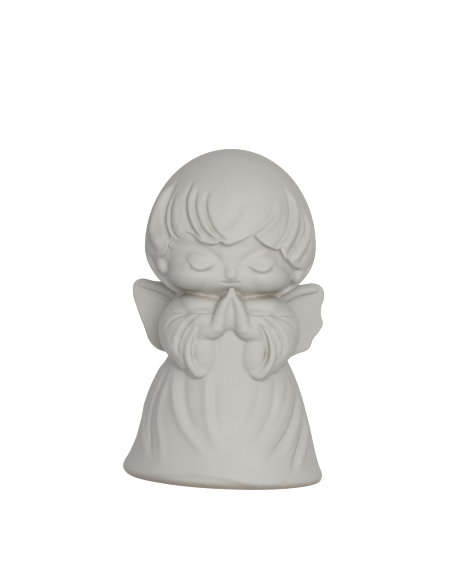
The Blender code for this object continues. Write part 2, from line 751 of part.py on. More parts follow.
def stone():
    """White cast stone, a little grey and matte."""
    material = bpy.data.materials.new("cast_stone")
    material.use_nodes = True
    shader = material.node_tree.nodes["Principled BSDF"]
    shader.inputs["Base Color"].default_value = STONE_COLOUR
    shader.inputs["Roughness"].default_value = STONE_ROUGHNESS
    return material


def thin_out(form, triangles):
    """Merges faces where the surface is nearly flat until this many triangles are left, least in face and hands."""
    plain = form.vertex_groups.new(name="plain")
    for v in form.data.vertices:
        fine = v.co.y < -32 and 90 < v.co.z < 148 and abs(v.co.x) < 30
        plain.add([v.index], 0.5 if fine else 1.0, "REPLACE")
    thinner = form.modifiers.new("thinner", "DECIMATE")
    thinner.ratio = min(1.0, triangles / (2 * len(form.data.polygons)))
    thinner.vertex_group = plain.name
    thinner.vertex_group_factor = DETAIL_KEPT
    bpy.context.view_layer.update()
    return mesh_of(form)


def build_angel(grain=CLAY_GRAIN, triangles=TRIANGLES):
    """The whole figure as one object, in metres."""
    forms = head_forms()
    forms.append(oval_tower("gown", GOWN_LEVELS))
    for side in (-1, 1):
        forms += sleeve_forms(side)
        forms += hand_forms(side)
    forms += thumb_forms()
    forms += wing_forms()
    clay = Sculpture(split_finer(round_off(fuse(forms, grain), FACE_OPENING, WORN_EDGE, WORN_PASSES)))
    carve_hair(clay)
    carve_face(clay)
    carve_gown(clay)
    carve_sleeves(clay)
    carve_wings(clay)
    angel = thin_out(clay.finish(), triangles)
    flat_underside(angel)
    angel.data.transform(Matrix.Scale(GRID, 4))
    angel.name = "angel"
    angel.data.name = "angel"
    angel.data.shade_smooth()
    angel.data.materials.append(stone())
    return angel


def main():
    for old in list(bpy.data.objects):
        bpy.data.objects.remove(old)
    angel = build_angel()
    figure = bpy.data.collections.new("praying_angel")
    bpy.context.scene.collection.children.link(figure)
    bpy.context.scene.collection.objects.unlink(angel)
    figure.objects.link(angel)


if __name__ == "__main__":
    main()
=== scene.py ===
"""A praying child angel, cast in one piece in white stone, in a plain studio.

The front faces -Y, the wings spread along X and the figure stands at z = 0. Forms are laid together like
clay, fused into one fine skin, and the locks, folds and features are then carved into it.
Points, widths and depths are in two-hundredths of the figure's height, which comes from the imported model.
"""

import math

import bmesh
import bpy
import numpy as np
from mathutils import Matrix, Vector
from mathutils.bvhtree import BVHTree


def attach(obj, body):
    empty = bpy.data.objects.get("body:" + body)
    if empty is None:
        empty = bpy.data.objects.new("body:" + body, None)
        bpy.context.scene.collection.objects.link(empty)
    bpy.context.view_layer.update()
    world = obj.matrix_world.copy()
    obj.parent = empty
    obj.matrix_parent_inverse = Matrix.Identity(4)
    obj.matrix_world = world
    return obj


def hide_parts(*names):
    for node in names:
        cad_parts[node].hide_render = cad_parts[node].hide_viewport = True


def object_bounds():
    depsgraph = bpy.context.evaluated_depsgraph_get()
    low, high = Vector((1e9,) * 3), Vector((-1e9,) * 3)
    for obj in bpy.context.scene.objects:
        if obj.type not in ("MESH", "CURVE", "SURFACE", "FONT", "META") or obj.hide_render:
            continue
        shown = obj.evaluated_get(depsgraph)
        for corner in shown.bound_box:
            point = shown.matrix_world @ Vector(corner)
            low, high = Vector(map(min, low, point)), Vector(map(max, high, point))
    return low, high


UNITS = 200  # units of the sizes below in the figure's height
CLAY_GRAIN = 0.8  # cells that the forms are fused on
SMOOTHING_PASSES = 6
SMOOTHING_FACTOR = 0.5
WELD = 0.02  # points closer than this become one
WORN_EDGE = 2.6  # how far the hair's lower edge is rounded off
WORN_PASSES = 14
TRIANGLES = 190000  # about how many faces are left in the finished skin
OUTSIDE = 90  # further from the middle than any part of the figure, sideways and in depth
OVAL_POINTS = 96
LEVEL_SPACING = 1.5  # between the ovals of the face and the gown
STROKE_SPACING = 1.5  # between the points of a stroke
HAIR_STROKE_SPACING = 2
OUTLINE_SPACING = 3

# The photograph: its size in pixels, its camera in metres and degrees (the sensor in millimetres), and the
# pixel where the middle of the figure shows
PICTURE = (452, 584)
CAMERA_DISTANCE = 1.2
CAMERA_ELEVATION = 6.0
CAMERA_AZIMUTH = -2.0
CAMERA_ROLL = 2.0
FOCAL_PIXELS = 1972
MIDDLE_PIXEL = (226.6, 313.2)
SENSOR_WIDTH = 36
CLIP_START = 0.01

# The stone's colours, the scales of its grain per metre, and its depths in metres
STONE_DARK = (0.515, 0.503, 0.465)
STONE_LIGHT = (0.548, 0.536, 0.503)
CREASE_SHADE_TINT = (0.66, 0.57, 0.5)  # painted shade: what the stone's colour is multiplied by in its deepest creases
NO_TINT = (1.0, 1.0, 1.0)
# how far round each point the painted shade in the creases looks for hiding stone
CREASE_REACH = 0.007
MOTTLE_SCALE = 45
PIT_SCALE = 260
PIT_DEPTH = 0.0002
GRAIN_SCALE = 1400
GRAIN_DEPTH = 0.00006
BUMP_STRENGTH = 0.25
STONE_ROUGHNESS = 0.62
STONE_GLOSS = 0.35

# The studio in metres: its floor, which curves up behind the figure, and its lights, each as a place, a
# size and a power
FLOOR_FRONT = -1.6
CURVE_START = 0.5
CURVE_RADIUS = 0.6
CURVE_STEPS = 16
BACKDROP_TOP = 2.5
FLOOR_HALF_WIDTH = 2.5
FLOOR_COLOUR = (0.9, 0.9, 0.89)
FLOOR_ROUGHNESS = 0.9
FLOOR_GLOW = 0.8
WHITE = (1.0, 1.0, 1.0, 1.0)
WORLD_LIGHT = 0.35
LIGHTS_AIM = (0, 0, 0.1)
KEY_LIGHT = ((0.25, -1.4, 0.5), 0.7, 13.2)
FILL_LIGHT = ((-0.4, -1.3, 0.06), 0.6, 1.8)

# The mass of hair: its middle, then its half-width, half-depth and height above and below its widest level
HEAD_MIDDLE = (0.8, -2.0, 140.5)
HAIR_SIZE = (52.0, 47.0, 59.5, 36.5)
UNDER_HAIR_SIZE = (49.0, 42.5, 54.0, 33.5)  # what shows where the hair is cut away

# Where the middle of each lies from left to right
FACE_MIDDLE = -0.6
EYES_MIDDLE = 0.2
HANDS_MIDDLE = 0.9
BODY_MIDDLE = 0.4
WINGS_MIDDLE = 1.5
BODY_TURN = 0.045  # how much wider the body's right half shows than its left, because it is turned a little

# The lower edge of the hair seen from the front as (x, z): under the left side lock, along the fringe and
# under the right side lock, then down and round below the chin
FACE_OPENING = (
    (-70, 98),
    (-70, 139),
    (-52, 138.5),
    (-47, 135),
    (-42, 134),
    (-38.5, 137),
    (-36.5, 142),
    (-34.5, 146.5),
    (-30.5, 149.6),
    (-26.5, 151.2),
    (-23.5, 149.6),
    (-19, 146.4),
    (-14, 145),
    (-8.7, 145),
    (-6.6, 145.9),
    (-4, 144.9),
    (-0.7, 145.4),
    (5.3, 147.6),
    (10.2, 149.8),
    (12.8, 150.2),
    (15, 148),
    (18.5, 145.6),
    (22, 143.8),
    (25, 143),
    (28, 142.6),
    (29.6, 139.8),
    (31.5, 137),
    (34.2, 135.2),
    (36.4, 132.4),
    (40, 130.4),
    (45, 130.6),
    (49, 133.4),
    (53, 137),
    (70, 138),
    (70, 98),
)
FACE_OPENING_FRONT = -80  # y in front of the hair
FACE_OPENING_DEPTH = -12  # y to which the hair is cleared for the face

# The face, fringe and hands, where the finest lines are carved: z range, half-width and y at the back
FINE_HEIGHTS = (88, 156)
FINE_HALF_WIDTH = 40
FINE_DEPTH = -28

# The nose from its bridge to its tip
NOSE = ((0.1, -38.6, 137), (0.2, -39.6, 131.5), (0.3, -40.3, 127.6), (0.3, -39.8, 124.6))
NOSE_RADII = (3.4, 4.4, 5.2, 4.2)

# The face below and behind the fringe, as ovals from the throat up: z, left x, right x, front y, back y,
# turn of the oval in degrees, and its fullness (2 is an ellipse, more is boxier)
FACE_LEVELS = (
    (106, -20, 19, -29, 10, 0, 2.3),
    (112, -23, 22, -32.5, 10, 0, 2.4),
    (115.5, -26, 25, -35.5, 10, 0, 2.5),
    (117.6, -28.8, 27.8, -38.4, 10, 0, 2.5),
    (120, -32, 30.6, -41, 10, 0, 2.6),
    (123.6, -35.4, 33.4, -42.7, 10, 0, 2.7),
    (127.6, -37, 35, -43.1, 10, 0, 2.9),
    (132, -37.2, 35.8, -42.0, 10, 0, 3.0),
    (136, -37.4, 36.6, -41.6, 10, 0, 2.9),
    (139.5, -38.4, 38, -42.2, 10, 0, 2.3),
    (143.5, -39.6, 40, -43.8, 10, 0, 2.05),
    (147.5, -40.4, 42, -45.8, 10, 0, 2.05),
    (152, -40, 42, -47, 10, 0, 2.1),
    (157, -38, 40, -45, 10, 0, 2.2),
)

# The gown from the hem up, in the same way
GOWN_LEVELS = (
    (-4, -52, 58, -40, 42, -9, 2),
    (0, -58.4, 61.4, -45.5, 45, -9, 2),
    (3.5, -60.8, 62.2, -48.7, 47, -9, 2),
    (7, -59.8, 60.8, -49, 46.5, -9, 2),
    (12, -57.0, 58.8, -47.5, 45, -8, 2),
    (22, -53.0, 56.0, -45.5, 42, -7, 2),
    (32, -50.6, 53.4, -44, 39.5, -5, 2),
    (43, -47.8, 50.2, -42, 37, -4, 2),
    (54, -44.4, 46.6, -40.5, 34.5, -2, 2),
    (65, -39.5, 42.0, -38.8, 32, 0, 2),
    (75, -34.0, 37.0, -38.6, 30, 0, 2),
    (88, -30.0, 33.0, -39.2, 28, 0, 2),
    (98, -27.0, 30.0, -37.5, 26, 0, 2),
    (108, -23.0, 26.0, -29, 24, 0, 2),
    (115, -16.0, 19.0, -21, 18, 0, 2),
    (119, -10.0, 12.0, -13, 12, 0, 2),
)

# The wings: y of their middle and of the fold on them, and how they sweep back beyond a given x
WING_DEPTH = 18
WING_FOLD_DEPTH = 16
WING_THICKNESS = 4.4
WING_SWEEP_START = 20
WING_SWEEP = 0.004

# Outline of the left wing seen from the front, from its top edge round the tip and down to the waist
WING_OUTLINE = (
    (-12, 100),
    (-24, 112),
    (-36, 116),
    (-45, 116.6),
    (-53, 117.6),
    (-57, 115),
    (-57.8, 109),
    (-55, 99.5),
    (-50.5, 88.5),
    (-44.5, 76.5),
    (-36, 72.6),
    (-24, 72),
    (-12, 78),
)
# The right wing, whose edge is notched by three feathers
WING_OUTLINE_RIGHT = (
    (12, 100),
    (24, 112),
    (36, 115.6),
    (46, 117),
    (57, 117.4),
    (60.8, 113.5),
    (61.2, 108.6),
    (59.6, 103),
    (59.8, 97.5),
    (61.2, 93),
    (59, 88),
    (55.2, 83),
    (52.8, 77),
    (46, 74),
    (36, 70),
    (24, 70),
    (12, 78),
)


def keep_mesh(name, bm):
    """Stores a bmesh as a new object and returns the object."""
    mesh = bpy.data.meshes.new(name)
    bm.to_mesh(mesh)
    bm.free()
    form = bpy.data.objects.new(name, mesh)
    bpy.context.scene.collection.objects.link(form)
    return form


def ball(name, centre, radii, lean=0.0, fullness=2.0):
    """An ellipsoid, or a boxier form with a fullness above 2, turned by lean degrees in the front view."""
    bm = bmesh.new()
    bmesh.ops.create_uvsphere(bm, u_segments=48, v_segments=32, radius=1)
    for v in bm.verts:
        v.co /= sum(abs(c) ** fullness for c in v.co) ** (1 / fullness)
    place = (
        Matrix.Translation(Vector(centre))
        @ Matrix.Rotation(math.radians(lean), 4, "Y")
        @ Matrix.Diagonal((*radii, 1.0))
    )
    bm.transform(place)
    return keep_mesh(name, bm)


def mesh_of(form):
    """Replaces an object by the mesh that its curve or its modifiers make, with caps welded on."""
    graph = bpy.context.evaluated_depsgraph_get()
    mesh = bpy.data.meshes.new_from_object(form.evaluated_get(graph))
    bm = bmesh.new()
    bm.from_mesh(mesh)
    bm.transform(form.matrix_world)
    bmesh.ops.remove_doubles(bm, verts=bm.verts, dist=WELD)
    bmesh.ops.recalc_face_normals(bm, faces=bm.faces)
    name = form.name
    bpy.data.objects.remove(form)
    bpy.data.meshes.remove(mesh)
    return keep_mesh(name, bm)


def limb(name, points, radii):
    """A round bar of changing thickness along a smooth curve."""
    data = bpy.data.curves.new(name, "CURVE")
    data.dimensions = "3D"
    data.bevel_depth = 1.0
    data.bevel_resolution = 5
    data.resolution_u = 8
    data.use_fill_caps = True
    spline = data.splines.new("BEZIER")
    spline.bezier_points.add(len(points) - 1)
    spline.radius_interpolation = "EASE"
    for knot, place, radius in zip(spline.bezier_points, points, radii):
        knot.co = place
        knot.handle_left_type = knot.handle_right_type = "AUTO"
        knot.radius = radius
    form = bpy.data.objects.new(name, data)
    bpy.context.scene.collection.objects.link(form)
    bpy.context.view_layer.update()
    return mesh_of(form)


def plate(name, outline, front, back):
    """A flat outline in the front view, smoothed and extruded from y = front to y = back."""
    data = bpy.data.curves.new(name, "CURVE")
    data.dimensions = "2D"
    data.fill_mode = "BOTH"
    data.extrude = (back - front) / 2
    data.resolution_u = 6
    spline = data.splines.new("BEZIER")
    spline.bezier_points.add(len(outline) - 1)
    for knot, (x, z) in zip(spline.bezier_points, outline):
        knot.co = (x, z, 0)
        knot.handle_left_type = knot.handle_right_type = "AUTO"
    spline.use_cyclic_u = True
    form = bpy.data.objects.new(name, data)
    bpy.context.scene.collection.objects.link(form)
    form.rotation_euler = (math.radians(90), 0, 0)
    form.location = (0, (front + back) / 2, 0)
    bpy.context.view_layer.update()
    return mesh_of(form)


def loft(name, rings):
    """A closed skin over rings of equal point counts, which are lists of points from the bottom up."""
    bm = bmesh.new()
    rows = [[bm.verts.new(p) for p in ring] for ring in rings]
    count = len(rows[0])
    for lower, upper in zip(rows, rows[1:]):
        for i in range(count):
            j = (i + 1) % count
            bm.faces.new((lower[i], lower[j], upper[j], upper[i]))
    bm.faces.new(reversed(rows[0]))
    bm.faces.new(rows[-1])
    return keep_mesh(name, bm)


def egg(name, middle, size):
    """An ellipsoid with different heights above and below its middle."""
    half_width, half_depth, above, below = size
    form = ball(name, (0, 0, 0), (1, 1, 1))
    for v in form.data.vertices:
        v.co.x = v.co.x * half_width + middle[0]
        v.co.y = v.co.y * half_depth + middle[1]
        v.co.z = v.co.z * (above if v.co.z > 0 else below) + middle[2]
    return form


def hair_mass():
    """The cap of hair, cleared in front for the face and the ears."""
    hair = egg("hair", HEAD_MIDDLE, HAIR_SIZE)
    opening = plate("face_opening", FACE_OPENING, FACE_OPENING_FRONT, FACE_OPENING_DEPTH)
    cut = hair.modifiers.new("face opening", "BOOLEAN")
    cut.operation = "DIFFERENCE"
    cut.object = opening
    bpy.context.view_layer.update()
    opened = mesh_of(hair)
    bpy.data.objects.remove(opening)
    return opened


def head_forms():
    """Hair, face, nose, closed eyelids and ears."""
    forms = [
        hair_mass(),
        egg("under_hair", HEAD_MIDDLE, UNDER_HAIR_SIZE),
        oval_tower("face", FACE_LEVELS),
        limb("nose", NOSE, NOSE_RADII),
    ]
    for side in (-1, 1):
        forms += [
            ball("cheek", (FACE_MIDDLE + side * 18.5, -25.4, 127), (17.2, 18.2, 11.6)),
            ball("eyelid", (EYES_MIDDLE + side * 17.0, -35.4, 135.0), (10.4, 7.7, 7.4)),
            ball("ear", (HEAD_MIDDLE[0] + side * 40.3, -19.5, 129 - side * 1.5), (4, 5.4, 6.6), side * 14),
        ]
    return forms


def oval_tower(name, levels):
    """A closed skin over ovals from the bottom up, evenly rounded between the given levels."""
    rings = []
    for z, left, right, front, back, turn, fullness in smooth_curve(levels, LEVEL_SPACING):
        angle = math.radians(turn)
        ring = []
        for step in range(OVAL_POINTS):
            a = 2 * math.pi * step / OVAL_POINTS
            x = (right - left) / 2 * math.copysign(abs(math.cos(a)) ** (2 / fullness), math.cos(a))
            y = (back - front) / 2 * math.copysign(abs(math.sin(a)) ** (2 / fullness), math.sin(a))
            ring.append(
                (
                    (left + right) / 2 + x * math.cos(angle) - y * math.sin(angle),
                    (front + back) / 2 + x * math.sin(angle) + y * math.cos(angle),
                    z,
                )
            )
        rings.append(ring)
    return loft(name, rings)


def body_x(side, x):
    """Where a point of the body at x from its middle lies, on the left (side -1) or the right (side 1)."""
    return BODY_MIDDLE + side * x * (1 + BODY_TURN * side)


def sleeve_forms(side):
    """Shoulder, sleeve and the hanging cuff with its rim and lining."""

    def place(x, y, z):
        return (body_x(side, x), y, z)

    drape = [(26, -22, 94), (25.5, -25, 86), (23, -27, 80.5), (20.5, -29, 75), (18, -32, 70.5)]
    rim = [
        (13, -39, 102.5),
        (17.2, -39.4, 98.5),
        (20.6, -39.4, 94),
        (23, -39.2, 89),
        (24.6, -39, 84),
        (24.8, -38.8, 79),
        (23.6, -38.8, 74.5),
        (21.2, -38.6, 70.4),
        (18, -37.8, 67.2),
        (14.4, -37, 68.6),
        (11.4, -36.4, 73.2),
        (9.2, -35.8, 79.4),
    ]
    return [
        ball("shoulder", place(23, -2, 103), (12.5, 16, 12.5)),
        ball("sleeve", place(22.8, -16, 91), (19.8, 24, 21.5)),
        ball("elbow", place(23, -19, 81), (14.5, 18.5, 12)),
        limb("drape", [place(*p) for p in drape], [14, 14.6, 13, 10.8, 7.4]),
        ball("cuff_tip", place(18, -32, 70.2), (7.4, 7.4, 7.4)),
        ball("collar", place(14, -17.2, 104.2), (16.5, 20.6, 10.4), fullness=3.0),
        ball("forearm", place(15, -30, 98.8), (14.5, 12.8, 10)),
        ball("wrist", place(15.5, -35, 92), (7, 7, 6.6)),
        ball("lining", place(15.2, -27, 81), (10.8, 14, 16.5), lean=side * 8, fullness=2.4),
        limb("rim", [place(*p) for p in rim], [1.0, 1.8, 2.3, 2.5, 2.6, 2.6, 2.6, 2.6, 2.4, 2.0, 1.5, 1.0]),
    ]


def hand_forms(side):
    """One hand of the pair, pressed against the other below the mouth."""

    def place(x, y, z):
        return (HANDS_MIDDLE + side * x, y, z)

    fingers = [
        (8.4, -40.4, 95),
        (6.9, -41.6, 99.5),
        (5.8, -42.6, 104),
        (4.2, -43.8, 109.5),
        (1.9, -44.9, 114),
        (0.9, -45.9, 117.6),
        (0.4, -46.4, 120),
    ]
    back = [(9, -34.6, 97), (4.8, -37, 106), (1.6, -40, 114)]
    heel = [(5, -38.8, 98.5), (9.5, -38.8, 94.8), (15, -37.4, 93.2), (20, -34.8, 92)]
    return [
        limb("fingers", [place(*p) for p in fingers], [5.4, 4.7, 4.0, 3.0, 1.8, 1.3, 1.1]),
        limb("hand_back", [place(*p) for p in back], [7.6, 5.0, 2.4]),
        limb("palm_heel", [place(*p) for p in heel], [5.2, 6.2, 5.6, 4.8]),
    ]


def thumb_forms():
    """The thumbs between the two hands, and behind them the palms and the stone left up to the chin."""
    thumbs = [(HANDS_MIDDLE, -41.0, 97), (HANDS_MIDDLE, -42.4, 103), (HANDS_MIDDLE, -43.6, 112)]
    return [
        ball("palms", (HANDS_MIDDLE, -38.2, 102.5), (6, 4.8, 9)),
        ball("behind_fingers", (HANDS_MIDDLE, -34, 111), (6, 7.5, 7)),
        limb("thumbs", thumbs, [1.8, 2.0, 1.4]),
    ]


def reskin(form, grain):
    """Covers a form with an even skin of cells of the given size."""
    skin = form.modifiers.new("skin", "REMESH")
    skin.mode = "VOXEL"
    skin.voxel_size = grain
    bpy.context.view_layer.update()
    return mesh_of(form)


def wing_form(name, outline):
    """A thin wing that sweeps back towards its tip."""
    flat = plate(name, outline, WING_DEPTH - WING_THICKNESS / 2, WING_DEPTH + WING_THICKNESS / 2)
    wing = reskin(flat, CLAY_GRAIN)
    for v in wing.data.vertices:
        v.co.y += wing_sweep(v.co.x)
    return wing


def wing_sweep(x):
    """How far back a wing has swept at x."""
    return WING_SWEEP * max(0.0, abs(x) - WING_SWEEP_START) ** 2


def wing_forms():
    """Both wings, each with the rounded fold along its upper edge."""
    forms = [
        wing_form("wing_left", WING_OUTLINE),
        wing_form("wing_right", WING_OUTLINE_RIGHT),
    ]
    for side in (-1, 1):
        fold = [(16, 98), (28, 106.5), (38, 111.5), (47, 113.8), (55, 114.4)]
        path = [(WINGS_MIDDLE + side * x, WING_FOLD_DEPTH + wing_sweep(x), z) for x, z in fold]
        forms.append(limb("wing_fold", path, [6.5, 5.5, 4.2, 3.0, 1.8]))
    return forms


def fuse(forms, grain):
    """One closed skin over all the forms, with its creases and edges a little rounded."""
    bm = bmesh.new()
    for form in forms:
        bm.from_mesh(form.data)
        bpy.data.objects.remove(form)
    clay = reskin(keep_mesh("clay", bm), grain)
    soften = clay.modifiers.new("soften", "SMOOTH")
    soften.factor = SMOOTHING_FACTOR
    soften.iterations = SMOOTHING_PASSES
    bpy.context.view_layer.update()
    return mesh_of(clay)


def smooth_curve(points, spacing):
    """Points about every spacing along a smooth curve through the given ones."""
    knots = [np.array(p, float) for p in points]
    knots = [2 * knots[0] - knots[1], *knots, 2 * knots[-1] - knots[-2]]
    curve = []
    for a, b, c, d in zip(knots, knots[1:], knots[2:], knots[3:]):
        steps = max(2, int(np.linalg.norm(c - b) / spacing))
        for t in np.arange(steps) / steps:
            curve.append(
                0.5
                * (
                    2 * b
                    + (c - a) * t
                    + (2 * a - 5 * b + 4 * c - d) * t**2
                    + (3 * b - a - 3 * c + d) * t**3
                )
            )
    curve.append(knots[-2])
    return curve


def round_off(form, outline, reach, passes):
    """Wears down the front of a form along an outline drawn in the front view, within about reach of it."""
    mesh = form.data
    points = np.empty(len(mesh.vertices) * 3)
    mesh.vertices.foreach_get("co", points)
    points = points.reshape(-1, 3)
    flat = points[:, [0, 2]]
    distance = np.full(len(flat), np.inf)
    line = smooth_curve(outline, OUTLINE_SPACING)
    for a, b in zip(line, line[1:]):
        run = b - a
        t = np.clip((flat - a) @ run / (run @ run), 0, 1)
        distance = np.minimum(distance, np.linalg.norm(flat - a - t[:, None] * run, axis=1))
    group = form.vertex_groups.new(name="worn edge")
    for index in np.flatnonzero((distance < 2 * reach) & (points[:, 1] < FACE_OPENING_DEPTH)):
        group.add([int(index)], math.exp(-((distance[index] / reach) ** 2)), "REPLACE")
    soften = form.modifiers.new("worn edge", "SMOOTH")
    soften.vertex_group = group.name
    soften.factor = SMOOTHING_FACTOR
    soften.iterations = passes
    bpy.context.view_layer.update()
    return mesh_of(form)


def is_fine(place):
    """Whether a point lies where the finest lines are carved."""
    low, high = FINE_HEIGHTS
    return place.y < FINE_DEPTH and low < place.z < high and abs(place.x) < FINE_HALF_WIDTH


def split_finer(form):
    """Splits the cells of the face, fringe and hands, so that finer lines can be carved there."""
    bm = bmesh.new()
    bm.from_mesh(form.data)
    fine = [e for e in bm.edges if all(is_fine(v.co) for v in e.verts)]
    bmesh.ops.subdivide_edges(bm, edges=fine, cuts=1, use_grid_fill=True)
    bm.to_mesh(form.data)
    bm.free()
    return form


def on_front(points):
    """Where a stroke drawn in the front view starts and points, for each (x, z)."""
    for x, z in smooth_curve(points, STROKE_SPACING):
        yield Vector((x, -OUTSIDE, z)), Vector((0, 1, 0))


def on_back(points):
    """The same for a stroke drawn on the back."""
    for x, z in smooth_curve(points, STROKE_SPACING):
        yield Vector((x, OUTSIDE, z)), Vector((0, -1, 0))


def round_head(points):
    """The same for a stroke on the hair, as (azimuth in degrees from the front, z)."""
    for azimuth, z in smooth_curve(points, HAIR_STROKE_SPACING):
        a = math.radians(azimuth)
        out = Vector((math.sin(a), -math.cos(a), 0))
        yield Vector((HEAD_MIDDLE[0], HEAD_MIDDLE[1], z)) + out * OUTSIDE, -out


class Sculpture:
    """A fused skin and the strokes carved into it."""

    def __init__(self, form):
        self.form = form
        mesh = form.data
        self.points = np.empty(len(mesh.vertices) * 3)
        mesh.vertices.foreach_get("co", self.points)
        self.points = self.points.reshape(-1, 3)
        self.normals = np.empty(len(mesh.vertices) * 3)
        mesh.vertices.foreach_get("normal", self.normals)
        self.normals = self.normals.reshape(-1, 3)
        faces = [tuple(p.vertices) for p in mesh.polygons]
        self.tree = BVHTree.FromPolygons([Vector(p) for p in self.points], faces)
        self.moves = np.zeros(len(self.points))

    def stroke(self, rays, width, height, lift=0.0, reach=5.0, fades=(0.25, 0.25)):
        """A groove (height < 0) or ridge (height > 0) along the rays' landing points.

        lift raises the skin on one side of the stroke and lowers it on the other, fading out over reach:
        drawn downwards it raises the right side, and drawn to the right the upper side.
        fades are the shares of its length over which it begins and ends.
        """
        path = []
        for origin, direction in rays:
            place, _, _, _ = self.tree.ray_cast(origin, direction)
            if place is not None:
                path.append(np.array(place))
        path = np.array(path)
        margin = max(3 * width, 3 * reach if lift else 0)
        near = (self.points > path.min(0) - margin).all(1)
        near &= (self.points < path.max(0) + margin).all(1)
        index = np.flatnonzero(near)
        p = self.points[index]
        normals = self.normals[index]
        best = np.full(len(p), np.inf)
        along = np.zeros(len(p))
        side = np.zeros(len(p))
        for i, (a, b) in enumerate(zip(path, path[1:])):
            run = b - a
            t = np.clip((p - a) @ run / (run @ run), 0, 1)
            gap = p - a - t[:, None] * run
            distance = np.linalg.norm(gap, axis=1)
            closer = distance < best
            best[closer] = distance[closer]
            along[closer] = (i + t[closer]) / (len(path) - 1)
            across = np.cross(normals[closer], run)
            side[closer] = np.sign((gap[closer] * across).sum(1))
        fade = np.clip(np.minimum(along / fades[0], (1 - along) / fades[1]), 0, 1)
        fade = fade * fade * (3 - 2 * fade)
        shape = height * np.exp(-((best / width) ** 2))
        if lift:
            shape += lift * side * (1 - np.exp(-((best / width) ** 2))) * np.exp(-((best / reach) ** 2))
        self.moves[index] += fade * shape

    def finish(self):
        """Moves the skin by all the strokes and returns its object."""
        moved = self.points + self.normals * self.moves[:, None]
        self.form.data.vertices.foreach_set("co", moved.ravel())
        self.form.data.update()
        return self.form


# Strokes on the hair: points as (azimuth, z) from the crown down, width, height, and how far the right
# side overlaps the left
LOCKS = (
    (((-80, 176), (-81, 162), (-79, 152), (-72, 143), (-61, 137)), 3.0, -1.4, 0.0),
    (
        ((-63, 183), (-66, 174), (-68, 165), (-68, 155), (-66, 149), (-60, 144.5), (-53, 141.5)),
        4.0,
        3.2,
        0.0,
    ),
    (((-61, 184), (-62, 175), (-61, 167), (-59, 160), (-56, 154), (-52, 149), (-46, 144)), 1.9, -2.2, 0.0),
    (((-58, 171), (-56.5, 161), (-53.5, 155), (-50.5, 151), (-47, 148)), 1.3, 0.5, 0.0),
    (((-55, 175), (-55, 166), (-53, 160), (-50, 154), (-46, 149), (-42, 146)), 1.2, -1.2, 0.0),
    (((-50, 176), (-50, 167), (-47, 160), (-43, 154), (-38, 150)), 2.2, 0.7, 0.0),
    (
        ((-42, 184), (-43, 175), (-41.5, 168), (-38, 161), (-34, 156), (-29, 151), (-23, 147.5)),
        1.4,
        -1.6,
        0.4,
    ),
    (((-38, 180), (-38, 171), (-35, 164), (-31, 158), (-26.5, 152.5), (-19, 148.5)), 2.0, 1.0, 0.0),
    (
        ((-33.5, 180), (-34, 171), (-32, 165), (-28, 158.5), (-23.5, 153), (-17, 149), (-9, 147)),
        1.2,
        -1.4,
        0.3,
    ),
    (((-28.5, 176), (-28, 166), (-23, 158.5), (-17.5, 152.5), (-10, 149)), 1.7, 0.9, 0.0),
    (
        ((-23, 179), (-24, 170), (-22, 163), (-18, 157), (-13, 151.5), (-8, 148.5), (-4, 146.5)),
        1.3,
        -1.6,
        0.5,
    ),
    (((5, 176), (4, 169), (1, 163), (-4, 158), (-10, 154)), 3.0, -0.7, 0.0),
    (((12, 172), (10, 164), (5, 158.5), (-1, 154)), 3.0, 0.6, 0.0),
    (((37, 172), (32, 164), (25, 159), (18, 154.5), (10, 150)), 2.0, -1.3, 0.0),
    (((41, 173), (35, 163), (28, 157), (20, 152.5), (13, 149.5)), 2.2, 1.2, 0.0),
    (((51, 183), (51, 172), (49, 165), (46, 159), (42, 153), (36, 147), (29, 142.5)), 1.5, -1.6, 0.6),
    (((55, 181), (54.5, 169), (52.5, 161), (48.5, 154.5), (43, 148), (36, 141.5)), 3.0, 2.0, 0.0),
    (((60, 174), (60, 164), (58, 157), (53, 150), (47, 143.5), (40, 137)), 2.0, -1.0, 0.0),
    (((64, 170), (65, 160), (63, 153.5), (57, 148), (50, 142), (43, 135)), 1.2, -1.2, 0.3),
    (((69, 164), (67, 154), (61, 147), (54, 141), (47, 135)), 2.4, 1.5, 0.0),
    (((77, 168), (75, 156), (70, 147), (62, 139.5), (53, 133.5)), 2.0, -1.1, 0.0),
)
BACK_LOCKS = range(98, 268, 17)  # azimuths of the plainer locks round the back

# The crisp edge of the fringe seen from the front as (x, z): its left part, its middle, the right lock's
# end, and the lower ends of the side locks
FRINGE = (
    (-29, 150.8),
    (-25, 150),
    (-22, 148.4),
    (-19, 146.3),
    (-14, 145),
    (-8.7, 145),
    (-6.6, 146),
    (-4, 145),
)
FRINGE_MIDDLE = ((-8, 146.4), (-4.2, 144.8), (-0.7, 145.3), (5.3, 147.5), (10.2, 149.7), (14, 151.4))
RIGHT_LOCK = ((11.5, 151), (14.4, 148.6), (18, 146), (21.6, 144.1), (24.7, 142.9), (28, 142.8), (31, 144.6))
SIDE_LOCKS = (
    ((27.6, 143), (29.2, 140.8), (30.8, 137.8), (33.6, 135.8), (35.6, 133.5), (38.5, 131.2), (43, 130)),
    ((-34, 148), (-36.3, 144.5), (-36.6, 140.5), (-39, 136.4), (-43, 134.4), (-48, 135.4)),
)


def carve_hair(clay):
    """Locks of the fringe and sides, and plainer ones round the back."""
    for line, width, height, overlap in LOCKS:
        clay.stroke(round_head(line), width, height, lift=overlap, fades=(0.3, 0.15))
    for azimuth in BACK_LOCKS:
        line = [(azimuth, 184), (azimuth + 5, 166), (azimuth + 3, 146), (azimuth - 4, 120)]
        clay.stroke(round_head(line), 2.0, -1.3, lift=0.6)
    for line in (FRINGE, FRINGE_MIDDLE, RIGHT_LOCK):
        clay.stroke(on_front(line), 0.8, -1.1, lift=0.7, reach=3.0, fades=(0.2, 0.1))
    for line in SIDE_LOCKS:
        clay.stroke(on_front(line), 0.9, -1.0, fades=(0.1, 0.3))


